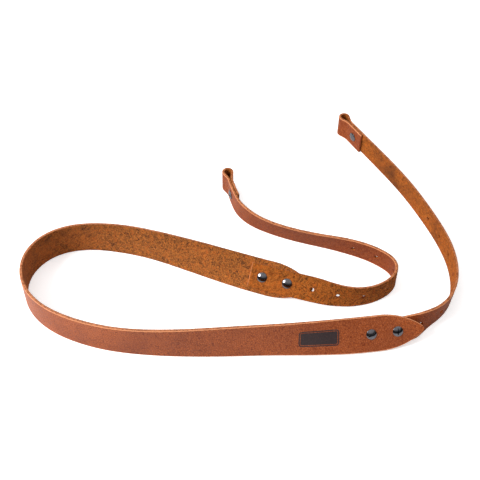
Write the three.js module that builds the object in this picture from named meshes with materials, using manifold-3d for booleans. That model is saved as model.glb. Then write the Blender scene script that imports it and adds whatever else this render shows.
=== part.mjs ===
// A leather neck strap: a wide neck band with a narrow strap lapped and screwed to each of its two
// pointed ends. Each narrow strap has a row of spare holes and ends in a hanging loop, folded back
// on itself and screwed.
// Millimetres, +Z up. The strap stands on its lower edge, grain side out, as it does on a table.

import * as THREE from 'three';
import { mergeVertices } from 'three/addons/utils/BufferGeometryUtils.js';
import Module from 'manifold-3d';

const wasm = await Module();
wasm.setup();

// Neck band
const BAND_LENGTH = 748;
const BAND_WIDTH = 35;
const BAND_THICKNESS = 3;
const POINT_RADIUS = 66;
const NOSE_RADIUS = 4;

// Narrow straps
const STRAP_WIDTH = 25;
const STRAP_THICKNESS = 2.6;
const LEFT_REACH = 334;
const RIGHT_REACH = 325;
const LAP = 64;
const SETTLE = 60;
const LEFT_PARTING = 1;
const RIGHT_PARTING = 22;

// Holes, counted from a strap's lapped end: the first two take the screws of the lap
const END_MARGIN = 13;
const HOLE_PITCH = 25.5;
const HOLE_COUNT = 9;
const HOLE_DIAMETER = 4;
const LAP_SCREWS = 2;

// End loops
const EYE_RADIUS = 3.6;
const EYE_FLARE = 20;
const FLARE_RADIUS = 12;
const LOOP_SCREW_SETBACK = 10;
const TAIL_MARGIN = 14;

// Two-part screws
const HEAD_DIAMETER = 10;
const HEAD_HEIGHT = 1.9;
const HEAD_RIM = 0.5;
const BARREL_DIAMETER = 5;
const BORE_DIAMETER = 3.8;
const SHANK_DIAMETER = 3;
const SLOT_WIDTH = 1.2;
const SLOT_DEPTH = 0.8;

// Clearances and fineness
const CLEARANCE = 0.3;
const BAND_STEP = 5;
const STRAP_STEP = 5;
const TURN_STEPS = 14;
const FLARE_STEPS = 3;
const NOSE_STEPS = 6;
const ROUND_SIDES = 20;
const HOLE_SIDES = 16;
const DOME_STEPS = 4;

// Where the leather goes. Each row gives, at a share of the stretch's length, the way its middle
// line runs seen from above (degrees from +X) and how far its upper edge leans to the flesh side.
// The band runs from its right tip to its left tip, and a narrow strap outward from the band's tip.
const BAND_BENDS = [
  { at: 0.00, heading: -172, lean: 38 },
  { at: 0.045, heading: -172, lean: 38 },
  { at: 0.09, heading: -173, lean: 37 },
  { at: 0.135, heading: -175, lean: 28 },
  { at: 0.185, heading: -177, lean: 19 },
  { at: 0.255, heading: -177, lean: 13 },
  { at: 0.315, heading: -180, lean: 7 },
  { at: 0.37, heading: -186, lean: 3 },
  { at: 0.42, heading: -196, lean: 2 },
  { at: 0.465, heading: -207, lean: 1 },
  { at: 0.50, heading: -222, lean: 0 },
  { at: 0.535, heading: -244, lean: 0 },
  { at: 0.57, heading: -271, lean: 0 },
  { at: 0.61, heading: -307, lean: -2 },
  { at: 0.65, heading: -339, lean: -4 },
  { at: 0.69, heading: -360, lean: -7 },
  { at: 0.73, heading: -370, lean: -11 },
  { at: 0.78, heading: -378, lean: -15 },
  { at: 0.84, heading: -380, lean: -26 },
  { at: 0.90, heading: -379, lean: -38 },
  { at: 0.935, heading: -378, lean: -42 },
  { at: 1.00, heading: -377, lean: -42 },
];
const LEFT_BENDS = [
  { at: 0.03, heading: -376, lean: -32 },
  { at: 0.085, heading: -366, lean: -14 },
  { at: 0.145, heading: -350, lean: -3 },
  { at: 0.205, heading: -332, lean: 0 },
  { at: 0.265, heading: -302, lean: 0 },
  { at: 0.305, heading: -259, lean: 0 },
  { at: 0.34, heading: -228, lean: 0 },
  { at: 0.40, heading: -210, lean: -2 },
  { at: 0.475, heading: -199, lean: -6 },
  { at: 0.55, heading: -195, lean: -12 },
  { at: 0.63, heading: -198, lean: -14 },
  { at: 0.74, heading: -209, lean: -12 },
  { at: 0.825, heading: -229, lean: -4 },
  { at: 0.875, heading: -247, lean: 0 },
  { at: 0.91, heading: -253, lean: 0 },
  { at: 1.00, heading: -257, lean: 0 },
];
const RIGHT_BENDS = [
  { at: -0.03, heading: -158, lean: 32 },
  { at: 0.00, heading: -148, lean: 16 },
  { at: 0.04, heading: -147, lean: 2 },
  { at: 0.08, heading: -138, lean: -3 },
  { at: 0.12, heading: -124, lean: -4 },
  { at: 0.17, heading: -109, lean: -4 },
  { at: 0.22, heading: -97, lean: -4 },
  { at: 0.285, heading: -86, lean: -4 },
  { at: 0.35, heading: -77, lean: -4 },
  { at: 0.43, heading: -71, lean: -3 },
  { at: 0.55, heading: -67, lean: -3 },
  { at: 0.69, heading: -61, lean: -2 },
  { at: 0.84, heading: -59, lean: -1 },
  { at: 1.00, heading: -61, lean: 0 },
];

const LEATHER = { color: 0x9c5634, roughness: 0.6, metalness: 0 };
const METAL = { color: 0x3a3c40, roughness: 0.28, metalness: 1 };

const LAP_OFFSET = BAND_THICKNESS / 2 + CLEARANCE + STRAP_THICKNESS / 2;
const FOLD_OFFSET = STRAP_THICKNESS + CLEARANCE;
const POST_HOLE_DIAMETER = BARREL_DIAMETER + 2 * CLEARANCE;
const THROUGH = 12;
const ROUTE_STEP = 1;

const ENDS = [
  {
    name: 'left', side: 1, reach: LEFT_REACH, parting: LEFT_PARTING, bends: LEFT_BENDS,
    slots: [60, 100], loopSlot: 20,
  },
  {
    name: 'right', side: -1, reach: RIGHT_REACH, parting: RIGHT_PARTING, bends: RIGHT_BENDS,
    slots: [35, 85], loopSlot: 130,
  },
];

function bendsOver(rows) {
  const places = rows.map((row) => row.along);
  const values = rows.flatMap((row) => [row.heading, row.lean].map(THREE.MathUtils.degToRad));
  return new THREE.CubicInterpolant(places, values, 2);
}

// A route seen from above: its bends, and the points of a walk along it in equal small steps
function makeRoute(rows, length, start, way) {
  const bends = bendsOver(rows);
  const points = [start];
  for (let done = 0; done <= length; done += ROUTE_STEP) {
    const [heading] = bends.evaluate(done + ROUTE_STEP / 2);
    const step = new THREE.Vector2(Math.cos(heading), Math.sin(heading));
    points.push(points.at(-1).clone().addScaledVector(step, way * ROUTE_STEP));
  }
  return { bends, points };
}

function routePoint(route, along) {
  const place = Math.max(along, 0) / ROUTE_STEP;
  const index = Math.min(Math.floor(place), route.points.length - 2);
  return route.points[index].clone().lerp(route.points[index + 1], place - index);
}

// The way up the leather's width, for a heading and a lean
function upward(heading, lean) {
  const up = new THREE.Vector3(Math.sin(heading), -Math.cos(heading), 0);
  return up.multiplyScalar(Math.sin(lean)).setZ(Math.cos(lean));
}

// How high the middle of leather lies that stands on its lower edge
function standingHeight(width, thickness, lean) {
  return (width * Math.cos(lean) + thickness * Math.abs(Math.sin(lean))) / 2;
}

// A frame square to a middle line: along it, up the leather's width, and out of its flesh side
function squareFrame(lineAt, along) {
  const { middle, up } = lineAt(along);
  const before = lineAt(along - ROUTE_STEP / 2).middle;
  const tangent = lineAt(along + ROUTE_STEP / 2).middle.sub(before).normalize();
  up.addScaledVector(tangent, -up.dot(tangent)).normalize();
  return { centre: middle, tangent, up, flesh: tangent.clone().cross(up) };
}

const bandRows = BAND_BENDS.map((row) => ({ ...row, along: row.at * BAND_LENGTH }));
const bandRoute = makeRoute(bandRows, BAND_LENGTH, new THREE.Vector2(), 1);

// The middle line of the band, measured from its right tip
function bandLine(along) {
  const [heading, lean] = bandRoute.bends.evaluate(along);
  const { x, y } = routePoint(bandRoute, along);
  const middle = new THREE.Vector3(x, y, standingHeight(BAND_WIDTH, BAND_THICKNESS, lean));
  return { middle, up: upward(heading, lean) };
}

function bandFrame(along) {
  return squareFrame(bandLine, along);
}

// A place on the band, by its distance from a narrow strap's lapped end
function underStrap(end, distance) {
  return end.side > 0 ? BAND_LENGTH - LAP + distance : LAP - distance;
}

function lappedFrame(end, distance) {
  const frame = bandFrame(underStrap(end, distance));
  frame.centre.addScaledVector(frame.flesh, LAP_OFFSET);
  frame.tangent.multiplyScalar(end.side);
  return frame;
}

// The route that a narrow strap follows by itself, from where it parts from the band
function freeRoute(end) {
  const parting = LAP - end.parting;
  const start = lappedFrame(end, parting).centre;
  const [heading, lean] = bandRoute.bends.evaluate(underStrap(end, parting)).map(THREE.MathUtils.radToDeg);
  const rows = [{ along: 0, heading, lean }];
  for (const row of end.bends) rows.push({ ...row, along: end.parting + row.at * end.reach });
  const route = makeRoute(rows, end.parting + end.reach, new THREE.Vector2(start.x, start.y), end.side);
  return { ...route, parting, height: start.z };
}

const freeRoutes = new Map(ENDS.map((end) => [end, freeRoute(end)]));

// The middle line of a narrow strap past its parting. Past the band's tip it settles until its
// own lower edge is on the table.
function freeLine(end, distance) {
  const route = freeRoutes.get(end);
  const past = Math.max(distance - route.parting, 0);
  const [heading, lean] = route.bends.evaluate(past);
  const { x, y } = routePoint(route, past);
  const settled = THREE.MathUtils.smoothstep(distance, LAP, LAP + SETTLE);
  const height = standingHeight(STRAP_WIDTH, STRAP_THICKNESS, lean);
  const middle = new THREE.Vector3(x, y, THREE.MathUtils.lerp(route.height, height, settled));
  return { middle, up: upward(heading, lean) };
}

// A narrow strap's frame, a distance from its lapped end, with the tangent away from that end
function strapFrame(end, distance) {
  if (distance <= LAP - end.parting) return lappedFrame(end, distance);
  const frame = squareFrame((place) => freeLine(end, place), distance);
  frame.flesh.multiplyScalar(end.side);
  return frame;
}

// Half the width of a band's pointed end, a distance in from its tip: two arcs and a round nose
function pointHalfWidth(distance) {
  const half = BAND_WIDTH / 2;
  const noseReach = Math.sqrt((POINT_RADIUS - NOSE_RADIUS) ** 2 - (POINT_RADIUS - half) ** 2);
  const fromShoulder = noseReach + NOSE_RADIUS - distance;
  if (fromShoulder <= 0) return half;
  const noseStart = noseReach * POINT_RADIUS / (POINT_RADIUS - NOSE_RADIUS);
  if (fromShoulder > noseStart) return Math.sqrt(NOSE_RADIUS ** 2 - (fromShoulder - noseReach) ** 2);
  return Math.sqrt(POINT_RADIUS ** 2 - fromShoulder ** 2) - POINT_RADIUS + half;
}

function bandHalfWidth(along) {
  return pointHalfWidth(Math.min(along, BAND_LENGTH - along));
}

// Places along a length, closer together round the two noses
function bandPlaces() {
  const nose = [];
  for (let i = 0; i < NOSE_STEPS; i++) {
    nose.push(NOSE_RADIUS * (1 - Math.cos((i + 0.5) / NOSE_STEPS * Math.PI / 2)));
  }
  const inner = BAND_LENGTH - 2 * NOSE_RADIUS;
  const count = Math.ceil(inner / BAND_STEP);
  const middle = Array.from({ length: count + 1 }, (_, i) => NOSE_RADIUS + inner * i / count);
  return [...nose, ...middle, ...nose.map((d) => BAND_LENGTH - d).reverse()];
}

// A closed ribbon of leather through a row of frames, each with its own half width
function ribbon(frames, thickness) {
  const positions = [];
  for (const { centre, tangent, up, half } of frames) {
    const out = tangent.clone().cross(up).multiplyScalar(thickness / 2);
    const rise = up.clone().multiplyScalar(half);
    for (const [a, b] of [[-1, -1], [1, -1], [1, 1], [-1, 1]]) {
      positions.push(...centre.clone().addScaledVector(out, a).addScaledVector(rise, b));
    }
  }
  const index = [0, 1, 2, 0, 2, 3];
  for (let i = 0; i < frames.length - 1; i++) {
    for (let k = 0; k < 4; k++) {
      const a = 4 * i + k;
      const b = 4 * i + (k + 1) % 4;
      index.push(a, a + 4, b, b, a + 4, b + 4);
    }
  }
  const last = 4 * (frames.length - 1);
  index.push(last, last + 2, last + 1, last, last + 3, last + 2);
  const geometry = new THREE.BufferGeometry();
  geometry.setAttribute('position', new THREE.Float32BufferAttribute(positions, 3));
  geometry.setIndex(index);
  return geometry;
}

function solidOf(geometry) {
  const bare = geometry.clone();
  bare.deleteAttribute('normal');
  bare.deleteAttribute('uv');
  const merged = mergeVertices(bare, 1e-4);
  const vertProperties = new Float32Array(merged.attributes.position.array);
  const triVerts = new Uint32Array(merged.index.array);
  return new wasm.Manifold(new wasm.Mesh({ numProp: 3, vertProperties, triVerts }));
}

function geometryOf(solid) {
  const { vertProperties, triVerts, numProp } = solid.getMesh();
  const positions = [];
  for (let i = 0; i < vertProperties.length; i += numProp) {
    positions.push(vertProperties[i], vertProperties[i + 1], vertProperties[i + 2]);
  }
  const geometry = new THREE.BufferGeometry();
  geometry.setAttribute('position', new THREE.Float32BufferAttribute(positions, 3));
  geometry.setIndex(Array.from(triVerts));
  return geometry;
}

// Cuts round holes through leather, each straight along the flesh direction of its frame
function punch(geometry, holes) {
  let solid = solidOf(geometry);
  for (const { frame, diameter } of holes) {
    const tool = new THREE.CylinderGeometry(diameter / 2, diameter / 2, THROUGH, HOLE_SIDES);
    tool.rotateX(Math.PI / 2);
    tool.applyMatrix4(placeOf(frame));
    solid = solid.subtract(solidOf(tool));
  }
  return geometryOf(solid);
}

// Local X along the leather, Y up its width, Z out of its flesh side
function placeOf({ centre, up, flesh }) {
  const matrix = new THREE.Matrix4().makeBasis(up.clone().cross(flesh), up, flesh);
  return matrix.setPosition(centre);
}

// The teardrop that a loop's middle line follows round its eye, in the plane of the strap's
// length and thickness: two flare arcs, two straight sides and a round turn
function eyeShape() {
  const flare = THREE.MathUtils.degToRad(EYE_FLARE);
  const turn = EYE_RADIUS + STRAP_THICKNESS / 2;
  const rise = FLARE_RADIUS * (1 - Math.cos(flare));
  const side = (turn * Math.cos(flare) - rise - FOLD_OFFSET / 2) / Math.sin(flare);
  const reach = FLARE_RADIUS * Math.sin(flare) + side * Math.cos(flare) + turn * Math.sin(flare) + turn;
  return { flare, turn, side, reach };
}

// The frames of a loop's eye, from the end of the strap's own line round to the place beside it
function eyeFrames(base) {
  const { flare, turn, side } = eyeShape();
  const path = [];
  const pen = { x: 0, y: 0, angle: 0 };
  const draw = (length, bend, steps) => {
    for (let i = 0; i < steps; i++) {
      pen.angle += bend / steps / 2;
      const chord = bend ? 2 * (length / bend) * Math.sin(bend / steps / 2) : length / steps;
      pen.x += chord * Math.cos(pen.angle);
      pen.y += chord * Math.sin(pen.angle);
      pen.angle += bend / steps / 2;
      path.push({ ...pen });
    }
  };
  const sweep = Math.PI + 2 * flare;
  draw(FLARE_RADIUS * flare, -flare, FLARE_STEPS);
  draw(side, 0, 1);
  draw(turn * sweep, sweep, TURN_STEPS);
  draw(side, 0, 1);
  draw(FLARE_RADIUS * flare, -flare, FLARE_STEPS);
  const { centre, tangent, up, flesh } = base;
  return path.map(({ x, y, angle }) => ({
    centre: centre.clone().addScaledVector(tangent, x).addScaledVector(flesh, y),
    tangent: tangent.clone().multiplyScalar(Math.cos(angle)).addScaledVector(flesh, Math.sin(angle)),
    up,
    half: STRAP_WIDTH / 2,
  }));
}

// Where a strap's own line ends and its loop's eye starts
function strapBase(end) {
  return LAP + end.reach - eyeShape().reach;
}

function loopScrewPlace(end) {
  return strapBase(end) - LOOP_SCREW_SETBACK;
}

function neckBand() {
  const frames = bandPlaces().map((along) => ({ ...bandFrame(along), half: bandHalfWidth(along) }));
  const holes = [];
  for (const end of ENDS) {
    for (let i = 0; i < LAP_SCREWS; i++) {
      const frame = bandFrame(underStrap(end, END_MARGIN + i * HOLE_PITCH));
      holes.push({ frame, diameter: POST_HOLE_DIAMETER });
    }
  }
  return punch(ribbon(frames, BAND_THICKNESS), holes);
}

function narrowStrap(end) {
  const base = strapBase(end);
  const count = Math.ceil(base / STRAP_STEP);
  const half = STRAP_WIDTH / 2;
  const frames = [];
  for (let i = 0; i <= count; i++) frames.push({ ...strapFrame(end, base * i / count), half });
  frames.push(...eyeFrames(strapFrame(end, base)));
  const tail = LOOP_SCREW_SETBACK + TAIL_MARGIN;
  const tailCount = Math.ceil(tail / STRAP_STEP);
  for (let i = 1; i <= tailCount; i++) {
    const frame = strapFrame(end, base - tail * i / tailCount);
    frame.centre.addScaledVector(frame.flesh, FOLD_OFFSET);
    frame.tangent.negate();
    frames.push({ ...frame, half });
  }
  const holes = [];
  for (let i = 0; i < HOLE_COUNT; i++) {
    const diameter = i < LAP_SCREWS ? POST_HOLE_DIAMETER : HOLE_DIAMETER;
    holes.push({ frame: strapFrame(end, END_MARGIN + i * HOLE_PITCH), diameter });
  }
  holes.push({ frame: strapFrame(end, loopScrewPlace(end)), diameter: POST_HOLE_DIAMETER });
  return punch(ribbon(frames, STRAP_THICKNESS), holes);
}

// A low dome's outline, from its top on the axis out to its rim and down to its flat underside
function domeOutline() {
  const radius = HEAD_DIAMETER / 2;
  const rise = HEAD_HEIGHT - HEAD_RIM;
  const dome = (radius ** 2 + rise ** 2) / (2 * rise);
  const reach = Math.asin(radius / dome);
  const points = [];
  for (let i = 0; i <= DOME_STEPS; i++) {
    const angle = reach * i / DOME_STEPS;
    points.push(new THREE.Vector2(dome * Math.sin(angle), HEAD_HEIGHT - dome * (1 - Math.cos(angle))));
  }
  points.push(new THREE.Vector2(radius, 0));
  return points;
}

// Turned about Z, the outline's height running along +Z
function turned(outline) {
  const geometry = new THREE.LatheGeometry(outline.reverse(), ROUND_SIDES);
  geometry.rotateX(Math.PI / 2);
  return geometry;
}

// The post: a plain domed head on the flesh side, and a barrel through the leather
function post(stack) {
  const end = -(stack + CLEARANCE);
  const outline = domeOutline();
  outline.push(new THREE.Vector2(BARREL_DIAMETER / 2, 0));
  outline.push(new THREE.Vector2(BARREL_DIAMETER / 2, end));
  outline.push(new THREE.Vector2(BORE_DIAMETER / 2, end));
  outline.push(new THREE.Vector2(BORE_DIAMETER / 2, -CLEARANCE));
  outline.push(new THREE.Vector2(0, -CLEARANCE));
  const geometry = turned(outline);
  geometry.translate(0, 0, stack + CLEARANCE);
  return geometry;
}

// The screw: a slotted domed head on the grain side, and a shank in the post's barrel
function screw(stack, turn) {
  const outline = domeOutline();
  outline.push(new THREE.Vector2(SHANK_DIAMETER / 2, 0));
  outline.push(new THREE.Vector2(SHANK_DIAMETER / 2, -stack));
  outline.push(new THREE.Vector2(0, -stack));
  const slot = new THREE.BoxGeometry(2 * HEAD_DIAMETER, SLOT_WIDTH, 2 * SLOT_DEPTH);
  slot.translate(0, 0, HEAD_HEIGHT);
  slot.rotateZ(THREE.MathUtils.degToRad(turn));
  const geometry = geometryOf(solidOf(turned(outline)).subtract(solidOf(slot)));
  geometry.rotateX(Math.PI);
  geometry.translate(0, 0, -CLEARANCE);
  return geometry;
}

function addPiece(group, name, geometry, look) {
  const mesh = new THREE.Mesh(geometry, new THREE.MeshStandardMaterial(look));
  mesh.name = name;
  group.add(mesh);
}

// A post and its screw through a stack of leather, whose grain face the frame's centre lies on
function addFastener(group, name, frame, stack, turn) {
  const place = placeOf(frame);
  addPiece(group, `${name}_post`, post(stack).applyMatrix4(place), METAL);
  addPiece(group, `${name}_screw`, screw(stack, turn).applyMatrix4(place), METAL);
}

function buildStrap() {
  const strap = new THREE.Group();
  addPiece(strap, 'neck_band', neckBand(), LEATHER);
  for (const end of ENDS) {
    addPiece(strap, `${end.name}_strap`, narrowStrap(end), LEATHER);
    for (let i = 0; i < LAP_SCREWS; i++) {
      const frame = bandFrame(underStrap(end, END_MARGIN + i * HOLE_PITCH));
      frame.centre.addScaledVector(frame.flesh, -BAND_THICKNESS / 2);
      const stack = BAND_THICKNESS + CLEARANCE + STRAP_THICKNESS;
      addFastener(strap, `${end.name}_lap_${i + 1}`, frame, stack, end.slots[i]);
    }
    const frame = strapFrame(end, loopScrewPlace(end));
    frame.centre.addScaledVector(frame.flesh, -STRAP_THICKNESS / 2);
    addFastener(strap, `${end.name}_loop`, frame, 2 * STRAP_THICKNESS + CLEARANCE, end.loopSlot);
  }
  return strap;
}

// The origin is under the middle of the whole strap, on the table
const neckStrap = buildStrap();
const room = new THREE.Box3().setFromObject(neckStrap, true);
const middle = room.getCenter(new THREE.Vector3());
neckStrap.position.set(-middle.x, -middle.y, -room.min.z);

export default neckStrap;
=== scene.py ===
"""A leather neck strap standing on its edge, dressed for a product photograph.

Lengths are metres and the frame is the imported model's. The wide band and the two narrow straps are
strips of leather laid along a route, with a grain side, a napped flesh side and raw cut edges.
"""
import math

import bmesh
import bpy
import numpy as np
from mathutils import Matrix, Vector


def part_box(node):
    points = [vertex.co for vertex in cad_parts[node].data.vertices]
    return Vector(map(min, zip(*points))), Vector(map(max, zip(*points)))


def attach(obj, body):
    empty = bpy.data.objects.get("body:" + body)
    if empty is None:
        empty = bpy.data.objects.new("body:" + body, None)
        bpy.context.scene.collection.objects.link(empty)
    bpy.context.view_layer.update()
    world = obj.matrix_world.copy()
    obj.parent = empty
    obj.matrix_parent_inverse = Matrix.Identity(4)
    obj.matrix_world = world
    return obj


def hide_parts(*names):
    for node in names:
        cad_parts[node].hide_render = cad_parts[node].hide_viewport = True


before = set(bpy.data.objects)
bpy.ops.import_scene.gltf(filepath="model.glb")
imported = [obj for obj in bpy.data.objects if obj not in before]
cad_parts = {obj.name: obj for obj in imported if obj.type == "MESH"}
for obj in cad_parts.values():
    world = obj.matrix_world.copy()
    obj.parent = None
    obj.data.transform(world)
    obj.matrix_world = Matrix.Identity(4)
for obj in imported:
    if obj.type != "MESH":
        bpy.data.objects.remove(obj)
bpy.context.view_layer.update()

bl_info = {
    "name": "Leather neck strap",
    "version": (1, 0, 0),
    "blender": (4, 5, 0),
    "location": "View3D > Sidebar > Strap",
    "description": "Makes a leather neck strap with screwed ends, and a small studio for it",
    "category": "Object",
}

MM = 0.001
SEED = 7
ROUTE_STEP = 1 * MM

# Where the leather goes: share of the stretch's length, heading seen from above and lean of the
# upper edge to the flesh side, both in degrees
BAND_BENDS = (
    (0.00, -172, 38),
    (0.045, -172, 38),
    (0.09, -173, 37),
    (0.135, -175, 28),
    (0.185, -177, 19),
    (0.255, -177, 13),
    (0.315, -180, 7),
    (0.37, -186, 3),
    (0.42, -196, 2),
    (0.465, -207, 1),
    (0.50, -222, 0),
    (0.535, -244, 0),
    (0.57, -271, 0),
    (0.61, -307, -2),
    (0.65, -339, -4),
    (0.69, -360, -7),
    (0.73, -370, -11),
    (0.78, -378, -15),
    (0.84, -380, -26),
    (0.90, -379, -38),
    (0.935, -378, -42),
    (1.00, -377, -42),
)
LEFT_BENDS = (
    (0.03, -376, -32),
    (0.085, -366, -14),
    (0.145, -350, -3),
    (0.205, -332, 0),
    (0.265, -302, 0),
    (0.305, -259, 0),
    (0.34, -228, 0),
    (0.40, -210, -2),
    (0.475, -199, -6),
    (0.55, -195, -12),
    (0.63, -198, -14),
    (0.74, -209, -12),
    (0.825, -229, -4),
    (0.875, -247, 0),
    (0.91, -253, 0),
    (1.00, -257, 0),
)
RIGHT_BENDS = (
    (-0.03, -158, 32),
    (0.00, -148, 16),
    (0.04, -147, 2),
    (0.08, -138, -3),
    (0.12, -124, -4),
    (0.17, -109, -4),
    (0.22, -97, -4),
    (0.285, -86, -4),
    (0.35, -77, -4),
    (0.43, -71, -3),
    (0.55, -67, -3),
    (0.69, -61, -2),
    (0.84, -59, -1),
    (1.00, -61, 0),
)

# Spacing of the places at which the band's box is measured
BOX_STEP = 5 * MM

# An end loop's eye: its opening angle in degrees, and its spacing as a share of the strip's
EYE_FLARE = 20
EYE_FINENESS = 0.6
# Holes along a narrow strap, apart from its loop's
HOLE_COUNT = 9
# Angles of the driver slots, in degrees
LAP_SLOTS = {"left": (60, 100), "right": (35, 85)}
LOOP_SLOTS = {"left": 20, "right": 130}

# Section, ends and holes of a strip
RIM_FADE = 0.8 * MM
RIM_SWELL = 0.12 * MM
CORNER_STEPS = 3
RIM_STEPS = 4
END_ROUNDING = 0.8 * MM
END_STEPS = 5
NOSE_STEPS = 8
SEAM_REACH = 0.004 * MM
# Pitch and roughness of the waves in a strip's surface
GRAIN_WAVES = ((9 * MM, 0.5),)
NAP_WAVES = ((2.2 * MM, 0.7), (7 * MM, 0.5))
EDGE_WAVES = ((1.3 * MM, 0.7), (4 * MM, 0.5))
# Share of the relief where the leather is finest
LEAST_RELIEF = 0.35
# The side runs from -1 on the grain side to 1 on the flesh side. In these ranges a face begins
GRAIN_FACE = (-0.9, -0.5)
NAP_FACE = (0.4, 0.9)
HOLE_SIDES = 28

# Loose fibres: most to a square metre, radius at root and tip, bow, tilt and least height
FIBRE_DENSITY = 0.5e6
FIBRE_ROOT = 0.035 * MM
FIBRE_TIP = 0.006 * MM
FIBRE_BOW = 0.6 * MM
FIBRE_TOSS = 1.5
LOWEST_FIBRE = 0.02 * MM
# The shortest fibre as a share of the longest, and the nap's density as a share of the edges'
SHORTEST_FIBRE = 0.35
NAP_FIBRES = 0.35

# Screws: fineness of their round parts, and how their edges are softened
DOME_STEPS = 11
HEAD_SIDES = 64
SOFT_EDGE = 0.16 * MM
SOFT_STEPS = 4
LIP_WIDTH = 0.06 * MM
# Edges sharper than these angles, in degrees, are bevelled and then stay sharp
LIP_ANGLE = 35
SHARP_ANGLE = 40

# Sizes of the leather's pattern
PEBBLE = 1.9 * MM
TUFT = 3.8 * MM
TAN_PATCH = 34 * MM
TAN_FLECK = 2.2 * MM
# Fineness of the nap's strands, the range in which its mottling fades out, and the range in which the
# painted shade of its pits fades out
STRAND_FINENESS = 16.0
MOTTLE = (0.43, 0.6)
PIT_SHADE = (0.42, 0.5)
# How much higher the nap stands than the pebbles, and what the bump makes of both
NAP_LIFT = 4.5
BUMP_STRENGTH = 0.8
BUMP_HEIGHT = 0.15 * MM

# Shares of one tone in another, and ranges in which one gives way to the next
FLECK_SHARE = 0.42
# Share of painted shade that darkens the creases between the pebbles
CREASE_SHADE_SHARE = 0.95
TAN_IN_FLESH = 0.35
RAW_TO_FUZZY = (-0.55, 0.35)
WORN_RIM = (0.66, 0.95)
CUT_END = (0.4 * MM, 1.6 * MM)
CUT_END_SHARE = 0.42

# The plain plate stamped on the band: its place from the tip, its size and its inner line
STAMP_PLACE = 101 * MM
STAMP_LENGTH = 38.5 * MM
STAMP_WIDTH = 16.5 * MM
STAMP_CORNER = 3.2 * MM
STAMP_FADE = 0.15 * MM
STAMP_INSET = 1.5 * MM
STAMP_LINE = (0.22 * MM, 0.42 * MM)
STAMP_LINE_SHARE = 0.85

# Share of the darker grain colour on the narrow straps
STRAP_DEPTH = 0.65
# Specular level of the leathers: the band is waxed more
BAND_SHINE = 0.28
STRAP_SHINE = 0.1
# Between these places along a strip the nap grows from fine to coarse
COARSE = {
    "band": (430 * MM, 560 * MM),
    "left": (-300 * MM, 420 * MM),
    "right": (100 * MM, 1200 * MM),
}
# Place, reach and strength of each darker patch on the right strap's flesh side
RIGHT_DARK_PATCHES = ((200 * MM, 18 * MM, 0.5), (290 * MM, 62 * MM, 0.6))

# Black and white, and the tones of the metal where it is darkest and where it is scratched
BLACK = (0.0, 0.0, 0.0, 1.0)
WHITE = (1.0, 1.0, 1.0, 1.0)
DARK_METAL = (0.03, 0.03, 0.034, 1.0)
BRIGHT_METAL = (0.4, 0.4, 0.42, 1.0)

# The photograph's view: how far it looks down in degrees, from what distance and at what place
ELEVATION = 49
DISTANCE = 980 * MM
LENS = 70.3
AIM = (-0.63 * MM, -12.37 * MM, 0)

# The studio: its paper floor, its room's light and its key light
FLOOR_SIZE = 6
FLOOR_LEVEL = -0.1 * MM
FLOOR_SHADE = 0.985
# How far the floor is lifted towards white, for the camera alone
FLOOR_LIFT = 0.45
DIM_LIGHT = 0.05
BRIGHT_LIGHT = 1.05
BACK_LIGHT = 0.15
KEY_PLACE = (-1.5, -0.45, 1.15)
KEY_WIDTH = 1.0
KEY_POWER = 42
KEY_TONE = (1.0, 0.995, 0.985)


def size(name, description, millimetres):
    return bpy.props.FloatProperty(
        name=name, description=description, default=millimetres * MM,
        subtype="DISTANCE", unit="LENGTH",
    )


def colour(name, description, red, green, blue):
    """A colour property. Its default is given as a screen colour from 0 to 255."""
    default = [linear(value / 255) for value in (red, green, blue)]
    return bpy.props.FloatVectorProperty(
        name=name, description=description, default=default, size=3, min=0, max=1,
        subtype="COLOR",
    )


def linear(value):
    return value / 12.92 if value <= 0.04045 else ((value + 0.055) / 1.055) ** 2.4


class LeatherSizes(bpy.types.PropertyGroup):
    """Sizes of the band, the narrow straps, their holes and their end loops."""

    band_length: size("Band length", "Neck band from tip to tip", 748)
    band_width: size("Band width", "Neck band across", 35)
    band_thickness: size("Band thickness", "Leather of the neck band", 3)
    point_radius: size("Point radius", "Arcs of the band's pointed ends", 66)
    nose_radius: size("Nose radius", "Rounding at the very tips", 4)
    strap_width: size("Strap width", "Narrow straps across", 25)
    strap_thickness: size("Strap thickness", "Leather of the narrow straps", 2.6)
    left_reach: size("Left reach", "Left strap past the band's tip", 334)
    right_reach: size("Right reach", "Right strap past the band's tip", 325)
    lap: size("Lap", "Narrow strap lying on the band", 64)
    settle: size("Settle", "Stretch in which a strap comes down to the table", 60)
    left_parting: size("Left parting", "Where the left strap leaves the band, in from its tip", 1)
    right_parting: size("Right parting", "Where the right strap leaves the band, in from its tip", 22)
    end_margin: size("End margin", "From a strap's lapped end to its first hole", 13)
    hole_pitch: size("Hole pitch", "From one hole to the next", 25.5)
    hole_diameter: size("Hole diameter", "Punched holes", 4)
    eye_radius: size("Eye radius", "Inside of an end loop", 3.6)
    flare_radius: size("Flare radius", "Bend where a loop opens", 12)
    loop_setback: size("Loop screw setback", "From a loop's eye to its screw", 10)
    tail_margin: size("Tail margin", "From a loop's screw to the folded end", 14)
    edge_rounding: size("Edge rounding", "Worn rounding of the cut edges", 0.42)
    cell: size("Cell", "Fineness of the leather's surface", 1.0)
    grain_relief: size("Grain relief", "Height of the soft unevenness of the grain side", 0.10)
    nap_relief: size("Nap relief", "Height of the clumps of the flesh side", 0.30)
    edge_relief: size("Edge relief", "Raggedness of the cut edges", 0.30)
    fibre_length: size("Fibre length", "Loose fibres of the flesh side and edges", 1.3)


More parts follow.
